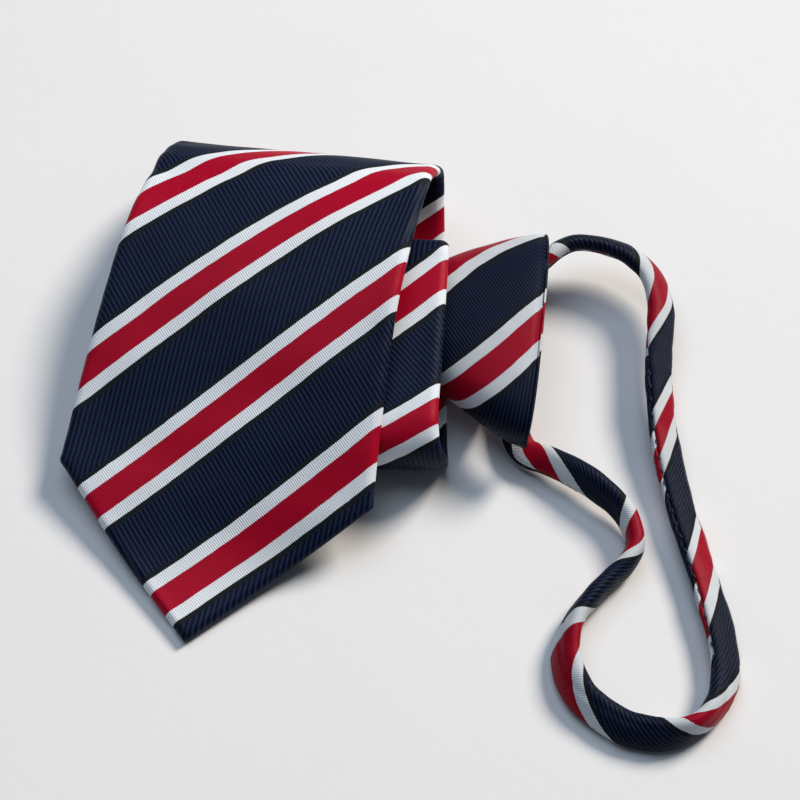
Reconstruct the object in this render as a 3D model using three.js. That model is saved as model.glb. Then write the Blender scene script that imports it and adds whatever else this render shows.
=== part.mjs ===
import * as THREE from 'three';

// Pre-tied necktie lying on a flat surface, its blade folded up over itself.
// Millimetres, +Z up, the surface is z = 0. The origin is the middle of the
// bounding box's floor side; +X points from the blade to the neck strap.

// ---- driving dimensions ----------------------------------------------------
const BLADE_THICKNESS = 3.0;   // two plies of fabric round an interlining
const EDGE_ROUNDING = 2.2;     // how far in from the hem the blade is at full thickness
const KNOT_WALL = 1.7;         // padded fabric of the knot's sleeve
const STRAP_THICKNESS = 4.4;
const CENTRE_X = -1.78;        // middle of the bounding box before it is centred
const CENTRE_Y = -12.14;

// ---- the blade -------------------------------------------------------------
// One strip from the pointed end to the knot, a row for each section across it:
// 80 wide at the shoulders of its right-angled point, losing 7.5 % of its length.
// left / right: distance from the apex along the strip at its two hems, so a
// row whose two numbers differ is a fold line that crosses the strip at a slant.
// The middle surface's left hem (xl yl zl) and right hem (xr yr zr) follow.
const BLADE_SECTIONS = [
  // left  right    xl     yl     zl     xr     yr     zr
  [  0.5,   0.5, -52.0, -68.0,  1.5, -51.2, -68.3,  1.5],   // apex
  [ 20.0,  20.0, -68.5, -45.6,  3.2, -29.0, -52.1,  3.6],
  [ 38.0,  38.0, -82.8, -24.3,  6.7,  -8.8, -39.9, 12.3],
  [ 40.0,  40.0, -84.4, -21.9,  7.1,  -6.6, -38.5, 13.2],   // shoulders
  [ 42.0,  42.0, -84.0, -19.9,  7.5,  -6.4, -36.7, 14.0],
  [ 52.0,  52.0, -82.0, -10.1,  9.8,  -5.4, -27.3, 18.1],
  [ 64.0,  64.0, -79.6,   1.4, 13.1,  -4.0, -15.6, 22.2],
  [ 76.0,  76.0, -77.0,  12.8, 16.4,  -2.5,  -3.9, 26.2],
  [ 88.0,  88.0, -74.3,  24.5, 19.2,  -0.8,   7.8, 29.6],
  [ 98.0,  98.0, -71.9,  34.2, 21.2,   1.1,  17.8, 31.4],
  [106.0, 107.0, -69.8,  42.1, 22.2,   3.0,  26.7, 32.1],
  [112.0, 114.0, -68.0,  47.9, 22.2,   4.5,  33.5, 31.9],
  [117.0, 120.0, -66.4,  52.8, 21.6,   5.8,  39.3, 31.1],
  [121.0, 124.5, -65.0,  56.5, 20.7,   6.8,  43.8, 30.1],   // the top fold starts
  [125.0, 128.0, -64.0,  60.8, 20.0,   7.7,  47.6, 28.9],
  [131.5, 134.0, -62.6,  64.6, 18.8,   8.4,  50.6, 27.3],
  [140.0, 140.5, -61.0,  68.0, 17.0,   9.5,  53.3, 25.4],
  [148.0, 147.5, -59.4,  70.6, 14.4,  10.7,  55.4, 23.3],
  [156.0, 154.0, -58.2,  71.2, 11.0,  11.4,  56.7, 21.0],
  [164.0, 160.5, -57.6,  69.2,  7.6,  11.6,  56.9, 18.5],
  [171.0, 166.5, -57.3,  64.8,  4.9,  11.7,  56.1, 16.1],
  [177.0, 172.0, -57.7,  60.9,  3.2,  11.7,  54.0, 13.1],
  [182.5, 178.0, -58.0,  55.8,  2.1,  11.8,  50.8,  9.8],   // the back layer
  [187.0, 185.5, -58.2,  49.8,  1.5,  11.8,  46.2,  6.2],
  [190.0, 192.0, -58.3,  42.6,  1.5,  11.6,  39.2,  3.0],
  [193.0, 198.5, -58.2,  34.6,  1.5,  11.5,  31.0,  1.6],
  [196.5, 206.0, -57.9,  25.5,  1.5,  11.6,  21.5,  1.5],
  [202.0, 217.5, -57.4,  10.4,  1.5,  11.7,   6.0,  1.5],
  [209.5, 229.5, -57.0,  -4.6,  1.5,  11.9,  -8.4,  1.5],
  [215.0, 236.5, -56.5, -15.6,  1.5,  12.0, -16.4,  1.7],   // the bottom roll
  [216.5, 237.5, -56.4, -17.9,  2.1,  12.1, -20.2,  3.6],
  [218.5, 239.0, -56.3, -19.8,  3.6,  12.0, -22.8,  7.2],
  [222.0, 241.5, -56.3, -20.6,  6.1,  11.6, -24.2, 11.6],
  [228.0, 245.5, -56.2, -19.9,  8.7,  10.6, -24.3, 15.8],
  [236.0, 251.0, -56.0, -18.0, 10.3,   9.7, -22.6, 18.9],
  [243.0, 257.0, -55.8, -15.8, 10.9,   9.4, -19.2, 20.7],
  [252.0, 263.6, -55.5, -12.6, 11.1,   9.5, -14.2, 21.5],   // the second face-up layer
  [263.0, 273.0, -54.2,  -3.4, 11.7,  10.1,  -6.0, 22.2],
  [278.0, 286.0, -52.6,   9.4, 12.5,  10.9,   5.7, 23.6],
  [294.0, 298.0, -50.9,  23.3, 13.2,  11.7,  17.6, 24.4],
  [308.0, 305.8, -49.2,  37.2, 13.9,  12.2,  25.4, 24.6],
  [312.0, 309.7, -48.8,  40.8, 14.1,  12.4,  29.3, 24.6],   // its own top fold
  [314.0, 311.6, -48.7,  42.4, 13.5,  12.5,  30.9, 24.0],
  [316.0, 313.6, -48.7,  43.0, 12.3,  12.5,  31.6, 22.7],
  [318.0, 315.6, -48.7,  42.4, 11.0,  12.4,  31.0, 21.3],
  [320.0, 317.6, -48.4,  40.6, 10.3,  12.1,  29.2, 20.7],   // the inner layer, gathered
  [323.0, 334.0, -45.8,  38.4,  9.9,   8.8,  23.0, 20.2],
  [326.0, 348.0, -42.4,  36.2,  9.6,   3.2,   9.8, 19.2],
  [329.0, 362.0, -39.0,  34.0,  9.3,  -2.6,  -3.0, 17.6],   // the turn into the knot
  [330.5, 365.5, -39.9,  33.0,  8.8,  -4.8,  -5.4, 16.2],
  [332.0, 369.0, -40.2,  32.7,  7.6,  -5.6,  -6.2, 13.9],
  [333.5, 372.5, -39.9,  33.0,  6.4,  -4.8,  -5.3, 11.6],
  [335.0, 376.0, -39.0,  33.8,  5.9,  -2.8,  -3.2, 10.5],
  [349.0, 379.0, -25.0,  33.4,  7.2,  -1.6,   0.6, 10.0],
  [362.0, 383.0, -12.0,  32.0,  8.6,   0.4,   3.9, 10.2],
  [376.0, 389.0,   3.0,  29.6, 10.0,   4.4,   6.5, 10.4],
  [388.0, 398.0,  14.0,  26.6, 10.6,  16.0,   7.0, 10.6],   // end inside the knot
];

// ---- the knot --------------------------------------------------------------
// Flattened tube, a row for each section from the mouth that the blade enters
// to the wide end that the neck strap leaves. x, y: the middle of the section.
// Underneath, the wide end is cut back and leaves room for the strap.
const KNOT_SKEW = 0.11;             // radians, the sections' turn from the Y axis
const KNOT_CUT_BACK = 9.0;
const KNOT_BULGE = 1.3;             // how far the upper lip of the wide end stands out
const KNOT_SECTIONS = [
  //   x     y    halfWidth  bottom  top   square
  [  4.0,  17.8,    15.4,     3.5,   17.2,  2.3],
  [  8.0,  16.9,    17.6,     3.5,   17.9,  2.3],
  [ 13.5,  15.8,    20.8,     3.4,   19.3,  2.4],
  [ 19.5,  14.2,    24.4,     3.2,   20.8,  2.5],
  [ 25.5,  12.5,    27.8,     3.1,   21.8,  2.6],
  [ 31.0,  11.0,    30.2,     3.0,   22.4,  2.7],
  [ 34.8,  10.3,    30.9,     3.0,   22.5,  2.8],
];
const KNOT_AROUND = 36;

// ---- the neck strap --------------------------------------------------------
// Whole loop: out of the knot's far corner, round, back in at its near corner
// and across inside the knot. lean: how far the band's upper edge leans to the
// inside of the loop, in degrees from upright. width: of the soft band there.
const STRAP_SECTIONS = [
  //  x       y      z    lean  width
  [  29.6,   12.0,  10.0,    4,   7.6],   // inside the knot
  [  30.6,   20.4,  11.4,    4,   7.6],
  [  33.4,   28.6,  12.4,    8,   7.8],
  [  37.9,   34.8,  12.9,   16,   8.0],
  [  44.2,   39.6,  12.9,   26,   8.4],
  [  50.1,   40.2,  12.5,   32,   8.4],
  [  55.8,   38.9,  12.0,   38,   8.4],
  [  61.0,   36.2,  11.4,   44,   8.4],
  [  65.2,   31.2,  10.6,   48,   8.4],
  [  67.1,   24.4,  10.0,   50,   8.2],
  [  66.9,   16.0,   9.3,   52,   8.0],
  [  65.9,    6.7,   8.6,   53,   8.0],
  [  65.6,   -2.2,   7.6,   54,   8.0],
  [  65.9,   -9.7,   6.4,   56,   8.4],
  [  66.8,  -18.2,   5.0,   58,   8.4],
  [  68.1,  -26.7,   4.0,   60,   8.4],
  [  70.0,  -36.2,   3.4,   60,   8.4],
  [  72.1,  -45.2,   3.2,   60,   8.4],
  [  74.1,  -54.2,   3.2,   60,   8.4],
  [  76.0,  -63.5,   3.2,   60,   8.4],
  [  77.1,  -71.4,   3.4,   56,   8.4],
  [  76.7,  -79.3,   3.7,   48,   8.4],
  [  73.9,  -86.1,   4.3,   20,   8.4],
  [  69.1,  -91.0,   4.6,    8,   8.4],
  [  62.3,  -93.0,   4.1,   36,   8.4],
  [  55.0,  -92.1,   3.6,   52,   8.4],
  [  48.2,  -88.5,   3.5,   56,   8.4],
  [  43.0,  -83.7,   3.9,   46,   8.6],
  [  39.7,  -76.9,   4.2,   38,   9.2],
  [  39.5,  -70.6,   4.4,   32,   9.6],
  [  41.9,  -63.6,   4.6,   16,   9.2],
  [  46.2,  -58.3,   4.6,    2,   8.6],
  [  50.8,  -53.3,   4.6,   -6,   8.0],
  [  55.4,  -48.7,   4.6,   -4,   8.0],
  [  57.4,  -44.3,   4.8,    2,   7.6],
  [  56.3,  -38.1,   5.2,   14,   7.6],
  [  52.5,  -32.3,   5.8,   26,   7.6],
  [  47.2,  -27.5,   6.0,   36,   7.6],
  [  41.3,  -23.1,   5.4,   46,   7.6],
  [  35.9,  -19.9,   4.5,   58,   7.4],
  [  31.2,  -17.4,   4.1,   68,   7.2],
  [  29.0,  -12.8,   4.5,   64,   7.2],
  [  28.8,   -5.4,   6.2,   40,   7.4],
  [  29.2,    3.2,   8.2,   16,   7.4],
];
const STRAP_STEPS = 150;

// ---- helpers ---------------------------------------------------------------
const V = (x, y, z) => new THREE.Vector3(x, y, z);

// cubic through the rows of a table, tangents set by the spacing in `knots`
function rowsAt(rows, knots, where, closed = false, period = 0) {
  const n = rows.length;
  const at = (i) => closed ? rows[(i + n) % n] : rows[Math.min(n - 1, Math.max(0, i))];
  const k = (i) => {
    if (closed) return knots[(i + n) % n] + period * Math.floor(i / n);
    if (i < 0) return 2 * knots[0] - knots[1];
    if (i >= n) return 2 * knots[n - 1] - knots[n - 2];
    return knots[i];
  };
  let i = 0;
  const last = closed ? n - 1 : n - 2;
  while (i < last && where >= k(i + 1)) i += 1;
  const h = k(i + 1) - k(i);
  const t = (where - k(i)) / h;
  return at(i).map((_, c) => {
    const p0 = at(i - 1)[c], p1 = at(i)[c], p2 = at(i + 1)[c], p3 = at(i + 2)[c];
    const h0 = k(i) - k(i - 1), h2 = k(i + 2) - k(i + 1);
    const d1 = (p1 - p0) / h0, d2 = (p2 - p1) / h, d3 = (p3 - p2) / h2;
    const m1 = (d1 * h + d2 * h0) / (h0 + h), m2 = (d2 * h2 + d3 * h) / (h + h2);
    const t2 = t * t, t3 = t2 * t;
    return (2 * t3 - 3 * t2 + 1) * p1 + (t3 - 2 * t2 + t) * h * m1
      + (-2 * t3 + 3 * t2) * p2 + (t3 - t2) * h * m2;
  });
}

// closed body from rings of equal length; open ends are capped
function loft(rings, { closed = false } = {}) {
  const n = rings[0].length, m = rings.length;
  const position = [];
  rings.forEach((ring) => ring.forEach((p) => position.push(p.x, p.y, p.z)));
  const index = [];
  const spans = closed ? m : m - 1;
  for (let r = 0; r < spans; r += 1) {
    const a = r * n, b = ((r + 1) % m) * n;
    for (let j = 0; j < n; j += 1) {
      const k = (j + 1) % n;
      index.push(a + j, a + k, b + j, a + k, b + k, b + j);
    }
  }
  if (!closed) {
    for (const [base, flip] of [[0, true], [(m - 1) * n, false]]) {
      // the ring folds flat: join its two sides by a zigzag
      let lo = 0, hi = n - 1;
      while (hi - lo > 1) {
        const tri = [base + lo, base + lo + 1, base + hi];
        index.push(...(flip ? tri.reverse() : tri));
        lo += 1;
        if (hi - lo > 1) {
          const next = [base + lo, base + hi - 1, base + hi];
          index.push(...(flip ? next.reverse() : next));
          hi -= 1;
        }
      }
    }
  }
  return finish(position, index);
}

// faces turned outwards, position attribute only
function finish(position, index) {
  let volume = 0;
  const p = (i) => V(position[3 * i], position[3 * i + 1], position[3 * i + 2]);
  for (let i = 0; i < index.length; i += 3) {
    volume += p(index[i]).dot(p(index[i + 1]).cross(p(index[i + 2])));
  }
  if (volume < 0) {
    for (let i = 0; i < index.length; i += 3) [index[i + 1], index[i + 2]] = [index[i + 2], index[i + 1]];
  }
  const g = new THREE.BufferGeometry();
  g.setAttribute('position', new THREE.Float32BufferAttribute(position, 3));
  g.setIndex(index);
  g.computeVertexNormals();
  return g;
}

// ---- blade body ------------------------------------------------------------
function bladeGeometry() {
  const mid = BLADE_SECTIONS.map((r) => (r[0] + r[1]) / 2);
  const places = [];
  for (let i = 0; i < mid.length - 1; i += 1) {
    places.push(mid[i], (mid[i] + mid[i + 1]) / 2);
  }
  places.push(mid[mid.length - 1]);
  const hems = places.map((m) => {
    const r = rowsAt(BLADE_SECTIONS, mid, m);
    return { left: V(r[2], r[3], r[4]), right: V(r[5], r[6], r[7]), along: m };
  });
  const across = [0.035, 0.12, 0.3, 0.5, 0.7, 0.88, 0.965];
  const rings = hems.map((s, i) => {
    const a = hems[Math.max(0, i - 1)], b = hems[Math.min(hems.length - 1, i + 1)];
    const ruling = s.right.clone().sub(s.left);
    const width = ruling.length();
    ruling.normalize();
    const travelL = b.left.clone().sub(a.left), travelR = b.right.clone().sub(a.right);
    const normalL = ruling.clone().cross(travelL).normalize();
    const normalR = ruling.clone().cross(travelR).normalize();
    const point = (f, side) => {
      const inset = Math.min(f, 1 - f) * width;
      const full = Math.min(1, inset / EDGE_ROUNDING);
      const half = 0.5 * BLADE_THICKNESS * Math.sqrt(full * (2 - full));
      const n = normalL.clone().lerp(normalR, f).normalize();
      const p = s.left.clone().lerp(s.right, f).addScaledVector(n, side * half);
      p.z = Math.max(0, p.z);          // flattened where it rests
      return p;
    };
    const ring = [s.left.clone()];
    across.forEach((f) => ring.push(point(f, 1)));
    ring.push(s.right.clone());
    [...across].reverse().forEach((f) => ring.push(point(f, -1)));
    return ring;
  });
  return loft(rings);
}

// ---- knot body -------------------------------------------------------------
function knotGeometry() {
  const xs = KNOT_SECTIONS.map((r) => r[0]);
  const first = xs[0], length = xs[xs.length - 1] - first;
  const side = V(Math.sin(KNOT_SKEW), Math.cos(KNOT_SKEW), 0);
  const ringAt = (part, wall) => {
    const ring = [];
    for (let j = 0; j < KNOT_AROUND; j += 1) {
      const t = 2 * Math.PI * j / KNOT_AROUND;
      const c = Math.cos(t), s = Math.sin(t);
      const cut = THREE.MathUtils.smoothstep(-0.33 - s, 0, 0.16) * KNOT_CUT_BACK;
      const [x, y, half, bottom, top, square] = rowsAt(KNOT_SECTIONS, xs, first + part * (length - cut));
      const a = half - wall, b = (top - bottom) / 2 - wall, zc = (top + bottom) / 2;
      const px = a * Math.sign(c) * Math.abs(c) ** (2 / square);
      const pz = b * Math.sign(s) * Math.abs(s) ** (2 / square);
      const lip = KNOT_BULGE * Math.max(0, s) * part ** 3;
      ring.push(V(x + lip, y, zc + pz).addScaledVector(side, px));
    }
    return ring;
  };
  const steps = 9;
  const rings = [];
  for (let i = 0; i <= steps; i += 1) rings.push(ringAt(i / steps, 0));
  for (let i = steps; i >= 0; i -= 1) rings.push(ringAt(i / steps, KNOT_WALL));
  return loft(rings, { closed: true });
}

// ---- strap body ------------------------------------------------------------
function strapGeometry() {
  const rows = STRAP_SECTIONS;
  const n = rows.length;
  const knots = [0];
  for (let i = 0; i < n; i += 1) {
    const a = rows[i], b = rows[(i + 1) % n];
    knots.push(knots[i] + Math.hypot(b[0] - a[0], b[1] - a[1], b[2] - a[2]));
  }
  const period = knots[n];
  const sections = [];
  for (let i = 0; i < STRAP_STEPS; i += 1) sections.push(rowsAt(rows, knots, period * i / STRAP_STEPS, true, period));
  const rings = sections.map((s, i) => {
    const a = sections[(i - 1 + STRAP_STEPS) % STRAP_STEPS], b = sections[(i + 1) % STRAP_STEPS];
    const travel = V(b[0] - a[0], b[1] - a[1], b[2] - a[2]).normalize();
    const out = V(-travel.y, travel.x, 0).normalize();   // the loop runs clockwise
    const lean = THREE.MathUtils.degToRad(s[3]);
    const wide = out.clone().multiplyScalar(-Math.sin(lean)).add(V(0, 0, Math.cos(lean)));
    wide.addScaledVector(travel, -wide.dot(travel)).normalize();
    const thin = wide.clone().cross(travel).normalize();
    const ring = [];
    for (let j = 0; j < 10; j += 1) {
      const t = 2 * Math.PI * j / 10;
      const c = Math.cos(t), q = Math.sin(t);
      const p = V(s[0], s[1], s[2])
        .addScaledVector(wide, s[4] / 2 * Math.sign(c) * Math.abs(c) ** 0.85)
        .addScaledVector(thin, STRAP_THICKNESS / 2 * Math.sign(q) * Math.abs(q) ** 0.85);
      p.z = Math.max(0, p.z);
      ring.push(p);
    }
    return ring;
  });
  return loft(rings, { closed: true });
}

// ---- assembly --------------------------------------------------------------
const navyFabric = new THREE.MeshStandardMaterial({ color: 0x161c33, roughness: 0.55, metalness: 0 });
const knotFabric = new THREE.MeshStandardMaterial({ color: 0x1a2140, roughness: 0.55, metalness: 0 });
const strapFabric = new THREE.MeshStandardMaterial({ color: 0x1c2444, roughness: 0.55, metalness: 0 });

const necktie = new THREE.Group();
for (const [name, geometry, material] of [
  ['blade', bladeGeometry(), navyFabric],
  ['knot', knotGeometry(), knotFabric],
  ['neck_strap', strapGeometry(), strapFabric],
]) {
  const mesh = new THREE.Mesh(geometry, material);
  mesh.name = name;
  mesh.position.set(-CENTRE_X, -CENTRE_Y, 0);
  necktie.add(mesh);
}

export default necktie;
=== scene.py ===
import math

import bmesh
import bpy
import numpy as np
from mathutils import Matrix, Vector


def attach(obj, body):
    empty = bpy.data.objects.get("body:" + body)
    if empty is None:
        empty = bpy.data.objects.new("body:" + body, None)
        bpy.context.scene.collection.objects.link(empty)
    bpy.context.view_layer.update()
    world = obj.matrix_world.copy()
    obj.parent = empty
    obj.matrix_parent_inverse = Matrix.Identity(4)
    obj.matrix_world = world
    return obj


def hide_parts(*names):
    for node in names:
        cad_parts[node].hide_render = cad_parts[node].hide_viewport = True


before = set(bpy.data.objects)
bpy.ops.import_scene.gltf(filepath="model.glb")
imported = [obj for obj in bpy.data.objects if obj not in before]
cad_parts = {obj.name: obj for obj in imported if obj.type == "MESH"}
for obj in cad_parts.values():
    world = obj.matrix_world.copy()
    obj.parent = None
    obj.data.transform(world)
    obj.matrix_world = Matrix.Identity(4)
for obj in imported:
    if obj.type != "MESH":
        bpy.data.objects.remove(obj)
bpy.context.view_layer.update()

# Lengths below are in millimetres; meshes are written in metres.
CENTRE_X, CENTRE_Y = -1.78, -12.14
BLADE_THICKNESS, EDGE_ROUNDING = 3.0, 2.2
KNOT_WALL, KNOT_SKEW, KNOT_CUT_BACK, KNOT_BULGE = 1.7, 0.11, 9.0, 1.3
STRAP_THICKNESS = 4.4

# The stripes, along the blade's axis: the first white band starts at
# STRIPE_START, and the whole sequence repeats every STRIPE_PERIOD.
STRIPE_PERIOD = 42.73
STRIPE_START = 6.72
LINE_WIDTH, WHITE_WIDTH, RED_WIDTH = 1.7, 4.5, 9.17

# ---- the blade: fabric distance at both hems, then the two hems ------------
BLADE_SECTIONS = [
    (0.5, 0.5, -52, -68, 1.5, -51.2, -68.3, 1.5),
    (20, 20, -68.5, -45.6, 3.2, -29, -52.1, 3.6),
    (38, 38, -82.8, -24.3, 6.7, -8.8, -39.9, 12.3),
    (40, 40, -84.4, -21.9, 7.1, -6.6, -38.5, 13.2),
    (42, 42, -84, -19.9, 7.5, -6.4, -36.7, 14),
    (52, 52, -82, -10.1, 9.8, -5.4, -27.3, 18.1),
    (64, 64, -79.6, 1.4, 13.1, -4, -15.6, 22.2),
    (76, 76, -77, 12.8, 16.4, -2.5, -3.9, 26.2),
    (88, 88, -74.3, 24.5, 19.2, -0.8, 7.8, 29.6),
    (98, 98, -71.9, 34.2, 21.2, 1.1, 17.8, 31.4),
    (106, 107, -69.8, 42.1, 22.2, 3, 26.7, 32.1),
    (112, 114, -68, 47.9, 22.2, 4.5, 33.5, 31.9),
    (117, 120, -66.4, 52.8, 21.6, 5.8, 39.3, 31.1),
    (121, 124.5, -65, 56.5, 20.7, 6.8, 43.8, 30.1),
    (125, 128, -64, 60.8, 20, 7.7, 47.6, 28.9),
    (131.5, 134, -62.6, 64.6, 18.8, 8.4, 50.6, 27.3),
    (140, 140.5, -61, 68, 17, 9.5, 53.3, 25.4),
    (148, 147.5, -59.4, 70.6, 14.4, 10.7, 55.4, 23.3),
    (156, 154, -58.2, 71.2, 11, 11.4, 56.7, 21),
    (164, 160.5, -57.6, 69.2, 7.6, 11.6, 56.9, 18.5),
    (171, 166.5, -57.3, 64.8, 4.9, 11.7, 56.1, 16.1),
    (177, 172, -57.7, 60.9, 3.2, 11.7, 54, 13.1),
    (182.5, 178, -58, 55.8, 2.1, 11.8, 50.8, 9.8),
    (187, 185.5, -58.2, 49.8, 1.5, 11.8, 46.2, 6.2),
    (190, 192, -58.3, 42.6, 1.5, 11.6, 39.2, 3),
    (193, 198.5, -58.2, 34.6, 1.5, 11.5, 31, 1.6),
    (196.5, 206, -57.9, 25.5, 1.5, 11.6, 21.5, 1.5),
    (202, 217.5, -57.4, 10.4, 1.5, 11.7, 6, 1.5),
    (209.5, 229.5, -57, -4.6, 1.5, 11.9, -8.4, 1.5),
    (215, 236.5, -56.5, -15.6, 1.5, 12, -16.4, 1.7),
    (216.5, 237.5, -56.4, -17.9, 2.1, 12.1, -20.2, 3.6),
    (218.5, 239, -56.3, -19.8, 3.6, 12, -22.8, 7.2),
    (222, 241.5, -56.3, -20.6, 6.1, 11.6, -24.2, 11.6),
    (228, 245.5, -56.2, -19.9, 8.7, 10.6, -24.3, 15.8),
    (236, 251, -56, -18, 10.3, 9.7, -22.6, 18.9),
    (243, 257, -55.8, -15.8, 10.9, 9.4, -19.2, 20.7),
    (252, 263.6, -55.5, -12.6, 11.1, 9.5, -14.2, 21.5),
    (263, 273, -54.2, -3.4, 11.7, 10.1, -6, 22.2),
    (278, 286, -52.6, 9.4, 12.5, 10.9, 5.7, 23.6),
    (294, 298, -50.9, 23.3, 13.2, 11.7, 17.6, 24.4),
    (308, 305.8, -49.2, 37.2, 13.9, 12.2, 25.4, 24.6),
    (312, 309.7, -48.8, 40.8, 14.1, 12.4, 29.3, 24.6),
    (314, 311.6, -48.7, 42.4, 13.5, 12.5, 30.9, 24),
    (316, 313.6, -48.7, 43, 12.3, 12.5, 31.6, 22.7),
    (318, 315.6, -48.7, 42.4, 11, 12.4, 31, 21.3),
    (320, 317.6, -48.4, 40.6, 10.3, 12.1, 29.2, 20.7),
    (323, 334, -45.8, 38.4, 9.9, 8.8, 23, 20.2),
    (326, 348, -42.4, 36.2, 9.6, 3.2, 9.8, 19.2),
    (329, 362, -39, 34, 9.3, -2.6, -3, 17.6),
    (330.5, 365.5, -39.9, 33, 8.8, -4.8, -5.4, 16.2),
    (332, 369, -40.2, 32.7, 7.6, -5.6, -6.2, 13.9),
    (333.5, 372.5, -39.9, 33, 6.4, -4.8, -5.3, 11.6),
    (335, 376, -39, 33.8, 5.9, -2.8, -3.2, 10.5),
    (349, 379, -25, 33.4, 7.2, -1.6, 0.6, 10),
    (362, 383, -12, 32, 8.6, 0.4, 3.9, 10.2),
    (376, 389, 3, 29.6, 10, 4.4, 6.5, 10.4),
    (388, 398, 14, 26.6, 10.6, 16, 7, 10.6),
]

# ---- the knot: x, y, half width, bottom, top, squareness ---------------------
KNOT_SECTIONS = [
    (4, 17.8, 15.4, 3.5, 17.2, 2.3),
    (8, 16.9, 17.6, 3.5, 17.9, 2.3),
    (13.5, 15.8, 20.8, 3.4, 19.3, 2.4),
    (19.5, 14.2, 24.4, 3.2, 20.8, 2.5),
    (25.5, 12.5, 27.8, 3.1, 21.8, 2.6),
    (31, 11, 30.2, 3, 22.4, 2.7),
    (34.8, 10.3, 30.9, 3, 22.5, 2.8),
]

# ---- the neck strap: x, y, z, lean in degrees, width --------------------------
STRAP_SECTIONS = [
    (29.6, 12, 10, 4, 7.6),
    (30.6, 20.4, 11.4, 4, 7.6),
    (33.4, 28.6, 12.4, 8, 7.8),
    (37.9, 34.8, 12.9, 16, 8),
    (44.2, 39.6, 12.9, 26, 8.4),
    (50.1, 40.2, 12.5, 32, 8.4),
    (55.8, 38.9, 12, 38, 8.4),
    (61, 36.2, 11.4, 44, 8.4),
    (65.2, 31.2, 10.6, 48, 8.4),
    (67.1, 24.4, 10, 50, 8.2),
    (66.9, 16, 9.3, 52, 8),
    (65.9, 6.7, 8.6, 53, 8),
    (65.6, -2.2, 7.6, 54, 8),
    (65.9, -9.7, 6.4, 56, 8.4),
    (66.8, -18.2, 5, 58, 8.4),
    (68.1, -26.7, 4, 60, 8.4),
    (70, -36.2, 3.4, 60, 8.4),
    (72.1, -45.2, 3.2, 60, 8.4),
    (74.1, -54.2, 3.2, 60, 8.4),
    (76, -63.5, 3.2, 60, 8.4),
    (77.1, -71.4, 3.4, 56, 8.4),
    (76.7, -79.3, 3.7, 48, 8.4),
    (73.9, -86.1, 4.3, 20, 8.4),
    (69.1, -91, 4.6, 8, 8.4),
    (62.3, -93, 4.1, 36, 8.4),
    (55, -92.1, 3.6, 52, 8.4),
    (48.2, -88.5, 3.5, 56, 8.4),
    (43, -83.7, 3.9, 46, 8.6),
    (39.7, -76.9, 4.2, 38, 9.2),
    (39.5, -70.6, 4.4, 32, 9.6),
    (41.9, -63.6, 4.6, 16, 9.2),
    (46.2, -58.3, 4.6, 2, 8.6),
    (50.8, -53.3, 4.6, -6, 8),
    (55.4, -48.7, 4.6, -4, 8),
    (57.4, -44.3, 4.8, 2, 7.6),
    (56.3, -38.1, 5.2, 14, 7.6),
    (52.5, -32.3, 5.8, 26, 7.6),
    (47.2, -27.5, 6, 36, 7.6),
    (41.3, -23.1, 5.4, 46, 7.6),
    (35.9, -19.9, 4.5, 58, 7.4),
    (31.2, -17.4, 4.1, 68, 7.2),
    (29, -12.8, 4.5, 64, 7.2),
    (28.8, -5.4, 6.2, 40, 7.4),
    (29.2, 3.2, 8.2, 16, 7.4),
]

# the edges of its stripes: s and t at the outer side, s and t at the inner side,
# then the stripe coordinate; s runs along the loop, t across the upper face
STRAP_STRIPES = [
    (24.6, -3.5, 29.1, 5.0, 18.17),
    (47.5, -1.6, 54.8, 5.0, 42.73),
    (51.2, -2.0, 66.8, 6.3, 47.23),
    (58.8, -3.4, 73.9, 4.3, 56.41),
    (63.1, -3.6, 78.6, 4.0, 60.90),
    (84.0, -3.8, 99.6, 5.5, 85.46),
    (88.8, -3.9, 103.1, 5.0, 89.96),
    (98.2, -2.2, 112.0, 5.5, 99.14),
    (102.2, -3.2, 117.0, 5.5, 103.63),
    (123.1, -4.1, 139.6, 6.2, 128.19),
    (129.2, -2.4, 143.3, 6.2, 132.69),
    (137.9, -3.8, 153.9, 6.2, 141.87),
    (142.4, -4.1, 159.6, 6.1, 146.36),
    (166.7, -2.9, 178.7, 5.3, 170.92),
    (169.0, -4.1, 181.5, 4.7, 175.42),
    (181.0, -2.0, 185.8, 4.4, 184.60),
    (186.5, 0.9, 190.8, 4.4, 189.09),
    (203.3, -3.8, 217.7, 4.7, 213.65),
    (208.7, -3.7, 223.2, 4.9, 218.15),
    (226.0, -3.0, 232.6, 6.4, 227.33),
    (235.2, 3.5, 241.6, 12.8, 231.82),
    (253.9, 5.3, 258.1, 8.6, 256.38),
    (256.4, 4.5, 260.0, 6.0, 260.88),
    (265.0, 2.5, 267.1, 5.3, 270.06),
    (269.5, 2.1, 271.1, 5.9, 274.55),
    (282.7, -1.2, 292.3, 3.7, 299.11),
    (288.8, -2.0, 296.6, 4.3, 303.61),
    (296.2, -2.4, 302.2, 1.9, 312.79),
]


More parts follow.
